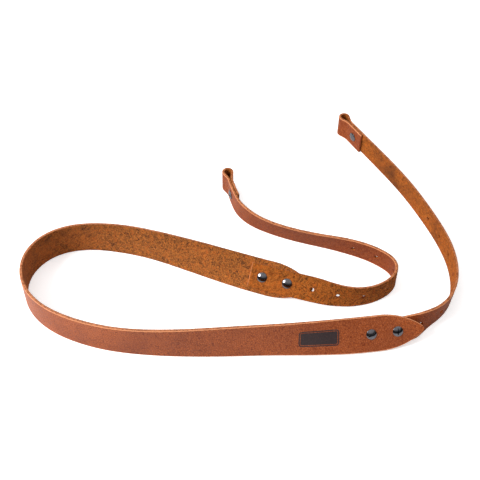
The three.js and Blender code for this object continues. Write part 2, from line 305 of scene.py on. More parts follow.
class ScrewSizes(bpy.types.PropertyGroup):
    """Sizes of the two-part screws."""

    head_diameter: size("Head diameter", "Domed heads", 10)
    head_height: size("Head height", "Domed heads above the leather", 1.9)
    head_rim: size("Head rim", "Upright rim below the dome", 0.5)
    barrel_diameter: size("Barrel diameter", "Barrel through the leather", 5)
    bore_diameter: size("Bore diameter", "Inside of the barrel", 3.8)
    shank_diameter: size("Shank diameter", "Screw in the barrel", 3)
    slot_width: size("Slot width", "Driver slot", 1.2)
    slot_depth: size("Slot depth", "Driver slot", 0.8)
    clearance: size("Clearance", "Gap between neighbouring pieces", 0.3)
    seat: size("Seat", "How far a head is pressed towards the leather", 0.25)


class StrapColours(bpy.types.PropertyGroup):
    """Colours of the leather, the metal and the studio."""

    grain: colour("Grain side", "Main colour of the smooth side", 176, 87, 33)
    # grain_dark also paints the shade in the grain's creases
    grain_dark: colour("Grain side, dark", "Darker clouds of the smooth side", 112, 46, 16)
    grain_light: colour("Grain side, light", "Worn and stretched leather", 192, 108, 62)
    flesh: colour("Flesh side", "Main colour of the napped side", 160, 80, 25)
    # flesh_dark is the nap's dark mottling and the painted shade in its pits
    flesh_dark: colour("Flesh side, dark", "Hollows of the nap", 52, 22, 7)
    # flesh_light is the painted highlight on the nap's raised strands, and the lighter tone of the
    # loose fibres
    flesh_light: colour("Flesh side, light", "Raised fibres", 214, 128, 54)
    edge: colour("Cut edge", "Raw leather of the cut edges", 222, 146, 100)
    edge_dark: colour("Cut edge, dark", "Fuzzy flesh half of the cut edges", 116, 60, 28)
    stamp: colour("Stamp", "Dark plain stamp on the band", 46, 37, 39)
    # Colour of the darker patches on the right strap's flesh side
    dark_patch: colour("Smudge", "Dark rubbed patches", 84, 46, 26)
    metal: colour("Metal", "Black nickel of the screws", 108, 106, 110)
    floor: colour("Floor", "Pale studio floor", 250, 250, 250)


class Bends:
    """Heading and lean along a route, on a smooth curve through its rows."""

    def __init__(self, rows):
        self.places = [along for along, _, _ in rows]
        self.values = np.radians([[heading, lean] for _, heading, lean in rows])

    def at(self, along):
        places = self.places
        if along <= places[0]:
            return self.values[0]
        if along >= places[-1]:
            return self.values[-1]
        i = next(k for k, place in enumerate(places) if along < place)
        start, end = places[i - 1], places[i]
        before = i - 2 if i >= 2 else i
        after = i + 1 if i + 1 < len(places) else i - 1
        half = (end - start) / 2
        weight_before = half / (start - places[before])
        weight_after = half / (places[after] - end)
        p = (along - start) / (end - start)
        shares = {
            "before": weight_before * (2 * p * p - p ** 3 - p),
            "start": (1 + weight_before) * p ** 3 - (1.5 + 2 * weight_before) * p * p
            + (weight_before - 0.5) * p + 1,
            "end": (1.5 + weight_after) * p * p - (1 + weight_after) * p ** 3 + 0.5 * p,
            "after": weight_after * (p ** 3 - p * p),
        }
        return (
            shares["before"] * self.values[before] + shares["start"] * self.values[i - 1]
            + shares["end"] * self.values[i] + shares["after"] * self.values[after]
        )


class Route:
    """A route seen from above, walked in equal small steps."""

    def __init__(self, rows, length, start, way):
        self.bends = Bends(rows)
        points = [np.array(start, float)]
        for k in range(int(length / ROUTE_STEP + 1e-6) + 1):
            heading = self.bends.at((k + 0.5) * ROUTE_STEP)[0]
            step = np.array([math.cos(heading), math.sin(heading)])
            points.append(points[-1] + way * ROUTE_STEP * step)
        self.points = points

    def point(self, along):
        place = max(along, 0) / ROUTE_STEP
        index = min(int(place), len(self.points) - 2)
        return self.points[index] + (place - index) * (self.points[index + 1] - self.points[index])


def upward(heading, lean):
    """The way up the leather's width."""
    return np.array([
        math.sin(heading) * math.sin(lean), -math.cos(heading) * math.sin(lean), math.cos(lean),
    ])


def standing_height(width, thickness, lean):
    return (width * math.cos(lean) + thickness * abs(math.sin(lean))) / 2


def smooth_share(value, low, high):
    share = min(max((value - low) / (high - low), 0), 1)
    return share * share * (3 - 2 * share)


def square_frame(line, along):
    """Centre, tangent, up and flesh directions, square to a middle line."""
    middle, up = line(along)
    tangent = line(along + ROUTE_STEP / 2)[0] - line(along - ROUTE_STEP / 2)[0]
    tangent = tangent / np.linalg.norm(tangent)
    up = up - tangent * up.dot(tangent)
    up = up / np.linalg.norm(up)
    return middle, tangent, up, np.cross(tangent, up)


class Layout:
    """Where the band, the two narrow straps and their screws lie."""

    def __init__(self, sizes, screws):
        self.sizes = sizes
        self.screws = screws
        self.gap = screws.clearance
        self.lap_offset = sizes.band_thickness / 2 + self.gap + sizes.strap_thickness / 2
        self.fold_offset = sizes.strap_thickness + self.gap
        self.shift = np.zeros(3)
        rows = [(share * sizes.band_length, heading, lean) for share, heading, lean in BAND_BENDS]
        self.band_route = Route(rows, sizes.band_length, (0, 0), 1)
        self.sides = {"left": 1, "right": -1}
        self.reaches = {"left": sizes.left_reach, "right": sizes.right_reach}
        self.partings = {"left": sizes.left_parting, "right": sizes.right_parting}
        self.free = {
            "left": self.free_route("left", LEFT_BENDS),
            "right": self.free_route("right", RIGHT_BENDS),
        }
        corners = []
        for along in np.arange(0, sizes.band_length, BOX_STEP):
            centre, _, up, flesh = self.band_frame(along)
            for across, out in ((-1, -1), (-1, 1), (1, -1), (1, 1)):
                edge = centre + across * up * self.half_width(along)
                corners.append(edge + out * flesh * sizes.band_thickness / 2)
        low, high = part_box("neck_band")
        middle = (np.array(low) + np.array(high)) / 2
        self.shift = middle - (np.min(corners, 0) + np.max(corners, 0)) / 2
        self.shift[2] = 0

    def band_line(self, along):
        heading, lean = self.band_route.bends.at(along)
        x, y = self.band_route.point(along)
        height = standing_height(self.sizes.band_width, self.sizes.band_thickness, lean)
        return np.array([x, y, height]) + self.shift, upward(heading, lean)

    def band_frame(self, along):
        return square_frame(self.band_line, along)

    def half_width(self, along):
        """Half the band's width: two arcs and a round nose towards each tip."""
        sizes = self.sizes
        distance = min(along, sizes.band_length - along)
        half = sizes.band_width / 2
        point, nose = sizes.point_radius, sizes.nose_radius
        reach = math.sqrt((point - nose) ** 2 - (point - half) ** 2)
        past = reach + nose - distance
        if past <= 0:
            return half
        if past > reach * point / (point - nose):
            return math.sqrt(max(nose ** 2 - (past - reach) ** 2, 0))
        return math.sqrt(point ** 2 - past ** 2) - point + half

    def under_strap(self, side, distance):
        lap = self.sizes.lap
        return self.sizes.band_length - lap + distance if side == "left" else lap - distance

    def lapped_frame(self, side, distance):
        middle, tangent, up, flesh = self.band_frame(self.under_strap(side, distance))
        return middle + flesh * self.lap_offset, tangent * self.sides[side], up, flesh

    def free_route(self, side, bends):
        parting = self.sizes.lap - self.partings[side]
        start = self.lapped_frame(side, parting)[0]
        heading, lean = self.band_route.bends.at(self.under_strap(side, parting))
        rows = [(0, math.degrees(heading), math.degrees(lean))]
        for share, turn, tilt in bends:
            rows.append((self.partings[side] + share * self.reaches[side], turn, tilt))
        length = self.partings[side] + self.reaches[side]
        route = Route(rows, length, start[:2], self.sides[side])
        route.parting = parting
        route.height = start[2]
        return route

    def free_line(self, side, distance):
        sizes = self.sizes
        route = self.free[side]
        past = max(distance - route.parting, 0)
        heading, lean = route.bends.at(past)
        x, y = route.point(past)
        settled = smooth_share(distance, sizes.lap, sizes.lap + sizes.settle)
        height = standing_height(sizes.strap_width, sizes.strap_thickness, lean)
        middle = np.array([x, y, route.height + settled * (height - route.height)])
        return middle + self.shift, upward(heading, lean)

    def strap_frame(self, side, distance):
        """A narrow strap's frame, a distance from its lapped end."""
        if distance <= self.sizes.lap - self.partings[side]:
            return self.lapped_frame(side, distance)
        middle, tangent, up, flesh = square_frame(lambda d: self.free_line(side, d), distance)
        return middle, tangent, up, flesh * self.sides[side]

    def eye(self):
        """The teardrop round an eye: flare angle, turn radius, straight side and reach."""
        sizes = self.sizes
        flare = math.radians(EYE_FLARE)
        turn = sizes.eye_radius + sizes.strap_thickness / 2
        rise = sizes.flare_radius * (1 - math.cos(flare))
        side = (turn * math.cos(flare) - rise - self.fold_offset / 2) / math.sin(flare)
        reach = (
            sizes.flare_radius * math.sin(flare) + side * math.cos(flare)
            + turn * math.sin(flare) + turn
        )
        return flare, turn, side, reach

    def base(self, side):
        return self.sizes.lap + self.reaches[side] - self.eye()[3]

    def loop_screw(self, side):
        return self.base(side) - self.sizes.loop_setback

    def strap_stations(self, side, step):
        """Frames all along a narrow strap, round its eye and back along its folded tail."""
        sizes = self.sizes
        base = self.base(side)
        tail = sizes.loop_setback + sizes.tail_margin
        stations = []
        for distance in spaced(0, base, step):
            stations.append((distance, self.strap_frame(side, distance)))
        centre, tangent, up, flesh = self.strap_frame(side, base)
        flare, turn, straight, _ = self.eye()
        sweep = math.pi + 2 * flare
        arcs = (
            (sizes.flare_radius * flare, -flare),
            (straight, 0),
            (turn * sweep, sweep),
            (straight, 0),
            (sizes.flare_radius * flare, -flare),
        )
        x = y = angle = 0
        walked = base
        for length, bend in arcs:
            count = math.ceil(length / (step * EYE_FINENESS))
            for _ in range(count):
                angle += bend / count / 2
                x += length / count * math.cos(angle)
                y += length / count * math.sin(angle)
                angle += bend / count / 2
                walked += length / count
                way = tangent * math.cos(angle) + flesh * math.sin(angle)
                out = flesh * math.cos(angle) - tangent * math.sin(angle)
                stations.append((walked, (centre + tangent * x + flesh * y, way, up, out)))
        for distance in spaced(0, tail, step)[1:]:
            middle, way, rise, out = self.strap_frame(side, base - distance)
            place = middle + out * self.fold_offset
            stations.append((walked + distance, (place, -way, rise, -out)))
        return stations

    def fasteners(self):
        """Name, frame on the grain face, stack of leather and slot angle of each screw."""
        sizes = self.sizes
        found = []
        for side in self.sides:
            for i, slot in enumerate(LAP_SLOTS[side]):
                place = self.under_strap(side, sizes.end_margin + i * sizes.hole_pitch)
                centre, _, up, flesh = self.band_frame(place)
                grain = centre - flesh * sizes.band_thickness / 2
                stack = sizes.band_thickness + self.gap + sizes.strap_thickness
                found.append((f"{side}_lap_{i + 1}", grain, up, flesh, stack, slot))
            centre, _, up, flesh = self.strap_frame(side, self.loop_screw(side))
            grain = centre - flesh * sizes.strap_thickness / 2
            stack = 2 * sizes.strap_thickness + self.gap
            found.append((f"{side}_loop", grain, up, flesh, stack, LOOP_SLOTS[side]))
        return found


def spaced(low, high, step):
    return list(np.linspace(low, high, max(math.ceil((high - low) / step), 1) + 1))


# Node trees

class Wiring:
    """Adds nodes to a tree and joins them up."""

    def __init__(self, tree):
        self.tree = tree
        self.column = 0

    def node(self, kind, inputs=None, **settings):
        made = self.tree.nodes.new(kind)
        made.location = (self.column * 180, -(self.column % 5) * 160)
        self.column += 1
        for name, value in settings.items():
            setattr(made, name, value)
        for key, value in (inputs or {}).items():
            self.feed(made.inputs[key], value)
        return made

    def first(self, kind, inputs=None, **settings):
        """The first output of a new node."""
        return self.node(kind, inputs, **settings).outputs[0]

    def feed(self, socket, value):
        if isinstance(value, bpy.types.NodeSocket):
            self.tree.links.new(value, socket)
        else:
            socket.default_value = value

    def math(self, operation, *values, clamp=False):
        inputs = dict(enumerate(values))
        return self.first("ShaderNodeMath", inputs, operation=operation, use_clamp=clamp)

    def scaled(self, value, gain, start):
        return self.math("MULTIPLY_ADD", value, gain, start)

    def most(self, first, second):
        return self.math("MAXIMUM", first, second)

    def times(self, first, *others):
        for other in others:
            first = self.math("MULTIPLY", first, other)
        return first

    def plus(self, first, *others):
        for other in others:
            first = self.math("ADD", first, other)
        return first

    def minus(self, first, second):
        return self.math("SUBTRACT", first, second)

    def vector(self, operation, *values):
        made = self.node("ShaderNodeVectorMath", operation=operation)
        for k, value in enumerate(values):
            name = "Scale" if operation == "SCALE" and k == 1 else k
            self.feed(made.inputs[name], value)
        return made.outputs["Value"] if operation == "LENGTH" else made.outputs[0]

    def joined(self, x=0.0, y=0.0, z=0.0):
        return self.first("ShaderNodeCombineXYZ", {0: x, 1: y, 2: z})

    def height(self, vector):
        return self.node("ShaderNodeSeparateXYZ", {0: vector}).outputs[2]

    def span(self, value, low, high, to_low=0.0, to_high=1.0):
        """Maps a value from one range to another, smoothly and held at both ends."""
        made = self.node("ShaderNodeMapRange", {0: value, 1: low, 2: high, 3: to_low, 4: to_high})
        made.interpolation_type = "SMOOTHSTEP"
        return made.outputs[0]

    def mix(self, share, first, second):
        inputs = {"Factor": share, 6: first, 7: second}
        return self.node("ShaderNodeMix", inputs, data_type="RGBA").outputs[2]

    def noise(self, vector, scale, detail=4.0, rough=0.5, warp=0.0):
        return self.first("ShaderNodeTexNoise", {
            "Vector": vector, "Scale": scale, "Detail": detail, "Roughness": rough,
            "Distortion": warp,
        })


def group_tree(name, kind, inputs, outputs):
    """A node group with named sockets. An input is given as a kind of socket or as a number."""
    tree = bpy.data.node_groups.new(name, kind)

    def socket(label, in_out, ending):
        return tree.interface.new_socket(label, in_out=in_out, socket_type=f"NodeSocket{ending}")

    for label, given in inputs.items():
        if isinstance(given, str):
            socket(label, "INPUT", given)
        else:
            socket(label, "INPUT", "Int" if isinstance(given, int) else "Float").default_value = given
    for label, ending in outputs.items():
        socket(label, "OUTPUT", ending)
    wiring = Wiring(tree)
    return tree, wiring, wiring.node("NodeGroupInput").outputs


def finish_group(w, **results):
    w.node("NodeGroupOutput", results)


def geometry_tree(name, inputs):
    sockets = {"Geometry": "Geometry", **inputs}
    return group_tree(name, "GeometryNodeTree", sockets, {"Geometry": "Geometry"})


def evaluated(obj):
    """Applies an object's modifiers to its mesh."""
    graph = bpy.context.evaluated_depsgraph_get()
    mesh = bpy.data.meshes.new_from_object(obj.evaluated_get(graph), depsgraph=graph)
    obj.modifiers.clear()
    obj.data = mesh
    return mesh


def grown(obj, tree, values):
    """Runs a geometry tree on an object with the given inputs and keeps the result as its mesh."""
    modifier = obj.modifiers.new(tree.name, "NODES")
    modifier.node_group = tree
    sockets = {s.name: s.identifier for s in tree.interface.items_tree if s.in_out == "INPUT"}
    for label, value in values.items():
        modifier[sockets[label]] = value
    evaluated(obj).name = obj.name


def named(wiring, name, data_type="FLOAT"):
    return wiring.first("GeometryNodeInputNamedAttribute", {0: name}, data_type=data_type)


def sampled(wiring, geometry, index, *names, data_type="FLOAT"):
    """Point attributes of a piece of geometry, read at an index."""
    return [
        wiring.first("GeometryNodeSampleIndex", {
            "Geometry": geometry, "Value": named(wiring, name, data_type), "Index": index,
        }, data_type=data_type, domain="POINT")
        for name in names
    ]


def stored(wiring, geometry, **values):
    """The geometry with numbers kept on its points under their names."""
    for name, value in values.items():
        geometry = wiring.first("GeometryNodeStoreNamedAttribute", {
            "Geometry": geometry, "Name": name, "Value": value,
        }, data_type="FLOAT", domain="POINT")
    return geometry


def shape_of(w, thing):
    return w.node("GeometryNodeObjectInfo", {"Object": thing}).outputs["Geometry"]


def point_count(w, geometry):
    return w.node("GeometryNodeAttributeDomainSize", {0: geometry}).outputs["Point Count"]


def position(w):
    return w.first("GeometryNodeInputPosition")


def moved(w, geometry, **by):
    return w.first("GeometryNodeSetPosition", {"Geometry": geometry, **by})


def facing(w, way):
    return w.first("FunctionNodeAlignRotationToVector", {"Vector": way}, axis="Z")


def copied(w, points, shape, turn, scale=(1.0, 1.0, 1.0)):
    """Real copies of a shape, one on each point."""
    copies = w.first("GeometryNodeInstanceOnPoints", {
        "Points": points, "Instance": shape, "Rotation": turn, "Scale": scale,
    })
    return w.first("GeometryNodeRealizeInstances", {0: copies})


def finish_in(w, geometry, material):
    """Ends a geometry tree, with everything in one material."""
    finish_group(w, Geometry=w.first("GeometryNodeSetMaterial", {
        "Geometry": geometry, "Material": material,
    }))


def strip_tree():
    """Lays a closed section along a row of stations, then roughens its two sides and its edges."""
    tree, w, given = geometry_tree("Leather strip", {
        "Section": "Object",
        "Rounding": 0.4 * MM,
        "Grain relief": 0.1 * MM,
        "Nap relief": 0.3 * MM,
        "Edge relief": 0.2 * MM,
        "Coarse from": 0.0,
        "Coarse to": 1.0,
        "Seed": 0.0,
        "Leather": "Material",
    })
    stations = given["Geometry"]
    section = shape_of(w, given["Section"])
    around = point_count(w, section)
    columns = w.plus(around, 1)
    grid = w.node("GeometryNodeMeshGrid", {
        "Size X": 1.0, "Size Y": 1.0, "Vertices X": point_count(w, stations), "Vertices Y": columns,
    }).outputs["Mesh"]
    index = w.first("GeometryNodeInputIndex")
    row = w.math("FLOOR", w.math("DIVIDE", w.plus(index, 0.5), columns))
    turn = w.math("MODULO", w.minus(index, w.times(row, columns)), around)
    centre, up, out = sampled(w, stations, row, "centre", "up", "out", data_type="FLOAT_VECTOR")
    half, plump, along = sampled(w, stations, row, "half", "plump", "along")
    share, bulge, rise, side, rim = sampled(w, section, turn, "share", "bulge", "rise", "side", "rim")
    flat = w.most(w.minus(half, given["Rounding"]), 0.0)
    across = w.plus(w.times(share, flat), w.times(bulge, plump))
    place = w.vector("ADD", centre, w.vector("SCALE", up, across))
    place = w.vector("ADD", place, w.vector("SCALE", out, w.times(rise, plump)))
    worn = w.most(rim, w.minus(1.0, plump))
    leather = stored(w, grid, side=side, rim=worn, along=along, across=across)
    leather = moved(w, leather, Position=place)
    leather = w.first("GeometryNodeMergeByDistance", {
        "Geometry": leather, "Distance": SEAM_REACH,
    })
    spot = position(w)

    def unevenness(*waves):
        """Noise about zero, added up from waves of a pitch and a roughness."""
        return w.plus(*(
            w.minus(w.first("ShaderNodeTexNoise", {
                "Vector": spot, "W": given["Seed"], "Scale": 1 / pitch, "Detail": 3.0,
                "Roughness": rough,
            }, noise_dimensions="4D"), 0.5)
            for pitch, rough in waves
        ))

    side = named(w, "side")
    coarse = w.span(named(w, "along"), given["Coarse from"], given["Coarse to"], LEAST_RELIEF, 1.0)
    grain_share = w.span(side, *GRAIN_FACE, 1.0, 0.0)
    nap_share = w.times(w.span(side, *NAP_FACE), coarse)
    edge_share = w.times(named(w, "rim"), coarse)
    relief = w.times(unevenness(*GRAIN_WAVES), given["Grain relief"], grain_share)
    nap = w.times(unevenness(*NAP_WAVES), given["Nap relief"], nap_share)
    ragged = w.times(unevenness(*EDGE_WAVES), given["Edge relief"], edge_share)
    normal = w.first("GeometryNodeInputNormal")
    leather = moved(w, leather, Offset=w.vector("SCALE", normal, w.plus(relief, nap, ragged)))
    leather = w.first("GeometryNodeSetShadeSmooth", {"Geometry": leather})
    finish_in(w, leather, given["Leather"])
    return tree


def punch_tree():
    """Cuts a round hole through leather at each of another object's points."""
    tree, w, given = geometry_tree("Punched holes", {
        "Places": "Object",
        "Depth": 12 * MM,
        "Leather": "Material",
    })
    punch = w.node("GeometryNodeMeshCylinder", {
        "Vertices": HOLE_SIDES, "Radius": 1.0, "Depth": given["Depth"],
    }).outputs["Mesh"]
    bore = named(w, "bore")
    turn = facing(w, named(w, "out", "FLOAT_VECTOR"))
    punches = copied(w, shape_of(w, given["Places"]), punch, turn, w.joined(bore, bore, 1.0))
    cut = w.node("GeometryNodeMeshBoolean", operation="DIFFERENCE", solver="EXACT")
    w.feed(cut.inputs[0], given["Geometry"])
    w.feed(cut.inputs[1], punches)
    finish_in(w, cut.outputs[0], given["Leather"])
    return tree


def fibre_tree():
    """Loose bent fibres scattered over the napped side and the cut edges."""
    tree, w, given = geometry_tree("Loose fibres", {
        "Density": 1.0e6,
        "Length": 1.2 * MM,
        "Seed": SEED,
        "Fibre": "Material",
    })
    side = named(w, "side")
    napped = w.span(side, 0.3, 0.8, 0.0, NAP_FIBRES)
    ragged = w.times(named(w, "rim"), w.span(side, -0.7, 0.2))
    spread = w.node("GeometryNodeDistributePointsOnFaces", {
        "Mesh": given["Geometry"], "Seed": given["Seed"],
        "Density": w.times(w.most(napped, ragged), given["Density"]),
    }, distribute_method="RANDOM")
    cone = w.node("GeometryNodeMeshCone", {
        "Vertices": 3, "Side Segments": 3, "Radius Top": FIBRE_TIP, "Radius Bottom": FIBRE_ROOT,
        "Depth": 1.0 * MM,
    }).outputs["Mesh"]
    share = w.math("DIVIDE", w.height(position(w)), MM)
    bent = moved(w, cone, Offset=w.joined(w.times(w.math("POWER", share, 2.0), FIBRE_BOW)))
    toss = w.first("FunctionNodeRandomValue", {
        0: (-1.0, -1.0, -1.0), 1: (1.0, 1.0, 1.0), "Seed": given["Seed"],
    }, data_type="FLOAT_VECTOR")
    turn = facing(w, w.vector("ADD", spread.outputs["Normal"], w.vector("SCALE", toss, FIBRE_TOSS)))
    stretch = w.node("FunctionNodeRandomValue", {
        2: SHORTEST_FIBRE, 3: 1.0, "Seed": given["Seed"],
    }, data_type="FLOAT").outputs[1]
    stretch = w.times(stretch, w.math("DIVIDE", given["Length"], MM))
    fibres = copied(w, spread.outputs["Points"], bent, turn, w.joined(1.0, 1.0, stretch))
    rise = w.most(w.minus(LOWEST_FIBRE, w.height(position(w))), 0.0)
    finish_in(w, moved(w, fibres, Offset=w.joined(z=rise)), given["Fibre"])
    return tree


def placed_tree():
    """Puts a copy of a finished shape at each point, turned to its directions."""
    tree, w, given = geometry_tree("Placed fasteners", {
        "Shape": "Object",
        "Metal": "Material",
    })
    turn = w.first("FunctionNodeAxesToRotation", {
        0: named(w, "out", "FLOAT_VECTOR"), 1: named(w, "up", "FLOAT_VECTOR"),
    }, primary_axis="Z", secondary_axis="Y")
    copies = copied(w, given["Geometry"], shape_of(w, given["Shape"]), turn)
    finish_in(w, copies, given["Metal"])
    return tree


# Meshes that the trees start from

def linked(name, data):
    """A new object in the scene."""
    obj = bpy.data.objects.new(name, data)
    bpy.context.scene.collection.objects.link(obj)
    return obj


def point_cloud(name, points, **attributes):
    """A mesh of loose vertices with named attributes, numbers or directions."""
    mesh = bpy.data.meshes.new(name)
    mesh.from_pydata([tuple(point) for point in points], [], [])
    for label, values in attributes.items():
        values = np.array(values, np.float32)
        kind, field = ("FLOAT_VECTOR", "vector") if values.ndim == 2 else ("FLOAT", "value")
        mesh.attributes.new(label, kind, "POINT").data.foreach_set(field, values.ravel())
    return linked(name, mesh)


def section_object(width, thickness, rounding, cell):
    """A rounded section: along the grain side to the upper edge, and back on the flesh side."""
    rows = []
    half = thickness / 2

    def corner(face, edge, angle):
        height = face * (half - rounding * (1 - math.cos(angle)))
        rows.append((edge, edge * rounding * math.sin(angle), height, face * math.cos(angle), 1))

    for sign, edge in ((-1, 1), (1, -1)):
        for across in spaced(-1, 1, 2 * cell / width):
            border = (1 - abs(across)) * width / 2
            rows.append((-sign * across, 0, sign * half, sign, math.exp(-border / RIM_FADE)))
        for k in range(1, CORNER_STEPS + 1):
            corner(sign, edge, math.pi / 2 * k / CORNER_STEPS)
        for k in range(1, RIM_STEPS):
            part = k / RIM_STEPS
            swell = rounding + RIM_SWELL * math.sin(math.pi * part)
            rows.append((edge, edge * swell, sign * (half - rounding) * (1 - 2 * part), 0, 1))
        for k in range(CORNER_STEPS):
            corner(-sign, edge, math.pi / 2 * (1 - k / CORNER_STEPS))
    labels = ("share", "bulge", "rise", "side", "rim")
    return point_cloud("section", np.zeros((len(rows), 3)), **dict(zip(labels, zip(*rows))))


def station_object(name, stations, halves, square_ends):
    """The stations of one strip. Its ends are drawn in, so the strip closes on itself."""
    total = stations[-1][0]
    plump = []
    for along, _ in stations:
        border = min(along, total - along) if square_ends else 1
        part = min(border / END_ROUNDING, 1)
        plump.append(math.sqrt(max(1 - (1 - part) ** 2, 0)))
    if not square_ends:
        plump[0] = plump[-1] = 0
    centre, _, up, out = zip(*(frame_at for _, frame_at in stations))
    return point_cloud(
        name, centre, centre=centre, up=up, out=out, along=[along for along, _ in stations],
        half=halves, plump=plump,
    )


def removed(*objects):
    for obj in objects:
        bpy.data.objects.remove(obj)


def written(made, mesh):
    """Writes a bmesh to a mesh, with its faces turned outwards."""
    bmesh.ops.recalc_face_normals(made, faces=made.faces)
    made.to_mesh(mesh)
    made.free()
    return mesh


def dressed(piece, material):
    """Leaves a piece with one material."""
    piece.data.materials.clear()
    piece.data.materials.append(material)


def strip(name, stations, halves, width, thickness, square_ends, holes, leather, coarse, seed):
    """One strip of leather with its punched holes, as a finished mesh."""
    sizes = bpy.context.scene.strap_sizes
    section = section_object(width, thickness, sizes.edge_rounding, sizes.cell)
    piece = station_object(name, stations, halves, square_ends)
    grown(piece, TREES["strip"], {
        "Section": section, "Rounding": sizes.edge_rounding, "Grain relief": sizes.grain_relief,
        "Nap relief": sizes.nap_relief, "Edge relief": sizes.edge_relief, "Coarse from": coarse[0],
        "Coarse to": coarse[1], "Seed": float(seed), "Leather": leather,
    })
    made = bmesh.new()
    made.from_mesh(piece.data)
    written(made, piece.data)
    centres, outs, bores = zip(*holes)
    places = point_cloud("holes", centres, out=outs, bore=bores)
    grown(piece, TREES["punch"], {"Places": places, "Leather": leather})
    dressed(piece, leather)
    piece.data.shade_smooth()
    removed(section, places)
    return piece


def kept(piece, node):
    """Says what the piece rides and which solid it replaces."""
    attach(piece, "root")
    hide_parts(node)


# Materials

def pebble_group():
    """Pebbled grain: soft rounded cells between fine creases, and a mask of the creases for painted
    shade.
    """
    tree, w, given = group_tree("Pebble grain", "ShaderNodeTree", {
        "Vector": "Vector",
        "Cell": 0.9 * MM,
    }, {"Height": "Float", "Creases": "Float"})
    warp = w.node("ShaderNodeTexNoise", {"Vector": given["Vector"], "Scale": 900.0, "Detail": 2.0})
    push = w.vector("SCALE", w.vector("SUBTRACT", warp.outputs[1], (0.5, 0.5, 0.5)), 0.5 * MM)
    distance = w.node("ShaderNodeTexVoronoi", {
        "Vector": w.vector("ADD", given["Vector"], push),
        "Scale": w.math("DIVIDE", 1.0, given["Cell"]), "Randomness": 1.0,
    }, feature="DISTANCE_TO_EDGE").outputs["Distance"]
    fine = w.noise(given["Vector"], 1 / (0.35 * MM), 2.0)
    height = w.plus(w.span(distance, 0.0, 0.28), w.times(fine, 0.35))
    finish_group(w, Height=height, Creases=w.span(distance, 0.02, 0.12, 1.0, 0.0))
    return tree


def nap_group():
    """Brushed flesh side: matted tufts, strands that cross each other, dark mottling, and painted
    shade in the pits between the tufts.
    """
    tree, w, given = group_tree("Napped flesh", "ShaderNodeTree", {
        "Vector": "Vector",
        "Tuft": 1.6 * MM,
        "Coarse": 1.0,
    }, {"Height": "Float", "Hollows": "Float", "Strands": "Float"})
    spot = given["Vector"]
    scale = w.math("DIVIDE", 1.0, given["Tuft"])

    def by_coarseness(gain, least):
        return w.scaled(given["Coarse"], gain, least)

    def ridges(pitch_share, offset):
        place = w.vector("ADD", spot, (offset, offset, offset))
        field = w.noise(place, w.times(scale, pitch_share), 3.0, 0.6, 1.8)
        off = w.math("ABSOLUTE", w.scaled(field, 2.0, -1.0))
        return w.math("POWER", w.math("SUBTRACT", 1.0, off, clamp=True), STRAND_FINENESS)

    tufts = w.noise(spot, scale, 1.5, 0.5, 1.2)
    mottled = w.span(w.noise(spot, w.times(scale, 0.9), 2.0, 0.6, 2.2), *MOTTLE, 0.85, 0.0)
    # Painted shade in the pits, where the tufts are lowest
    pit_shade = w.span(tufts, *PIT_SHADE, 0.7, 0.0)
    mottle_and_pit_shade = w.times(w.math("ADD", mottled, pit_shade, clamp=True), by_coarseness(0.75, 0.25))
    strands = w.most(ridges(0.9, 0.0), ridges(1.5, 3.1))
    strands = w.times(strands, by_coarseness(0.65, 0.35))
    height = w.plus(w.times(tufts, by_coarseness(1.0, 0.5)), w.times(strands, 0.5))
    finish_group(w, Height=height, Hollows=mottle_and_pit_shade, Strands=strands)
    return tree


def clouds_group():
    """Large soft patches and small flecks, for uneven tanning and wear."""
    tree, w, given = group_tree("Clouds and flecks", "ShaderNodeTree", {
        "Vector": "Vector",
        "Patch": 30 * MM,
        "Fleck": 2.5 * MM,
    }, {"Clouds": "Float", "Flecks": "Float"})
    patches = w.noise(given["Vector"], w.math("DIVIDE", 1.0, given["Patch"]), 3.0)
    flecks = w.noise(given["Vector"], w.math("DIVIDE", 1.0, given["Fleck"]), 4.0, 0.65)
    finish_group(w, Clouds=w.span(patches, 0.32, 0.68), Flecks=w.span(flecks, 0.35, 0.68))
    return tree


def plate_group():
    """A rounded plate's distance field in the leather's own length and width."""
    tree, w, given = group_tree("Rounded plate", "ShaderNodeTree", {
        "Along": 0.0,
        "Across": 0.0,
        "Length": 40 * MM,
        "Width": 16 * MM,
        "Corner": 3 * MM,
    }, {"Distance": "Float"})

    def beyond(value, extent):
        half = w.minus(w.times(extent, 0.5), given["Corner"])
        return w.minus(w.math("ABSOLUTE", value), half)

    x = beyond(given["Along"], given["Length"])
    y = beyond(given["Across"], given["Width"])
    corner = w.joined(w.most(x, 0.0), w.most(y, 0.0))
    inside = w.math("MINIMUM", w.most(x, y), 0.0)
    distance = w.minus(w.plus(w.vector("LENGTH", corner), inside), given["Corner"])
    finish_group(w, Distance=distance)
    return tree


def placed_group(w, tree, **inputs):
    return w.node("ShaderNodeGroup", inputs, node_tree=tree).outputs


def shader(name):
    """A new material, its wiring, its shader and the piece's own coordinates."""
    material = bpy.data.materials.new(name)
    material.use_nodes = True
    material.node_tree.nodes.clear()
    w = Wiring(material.node_tree)
    principled = w.node("ShaderNodeBsdfPrincipled")
    w.node("ShaderNodeOutputMaterial", {0: principled.outputs[0]}).is_active_output = True
    return material, w, principled, w.node("ShaderNodeTexCoord").outputs["Object"]


def finish_shader(w, principled, inputs):
    for label, value in inputs.items():
        w.feed(principled.inputs[label], value)


def attribute(w, name):
    return w.node("ShaderNodeAttribute", attribute_name=name).outputs["Fac"]


def rgb(name):
    """One of the strap's colours, as a shader takes it."""
    return (*getattr(bpy.context.scene.strap_colours, name), 1.0)


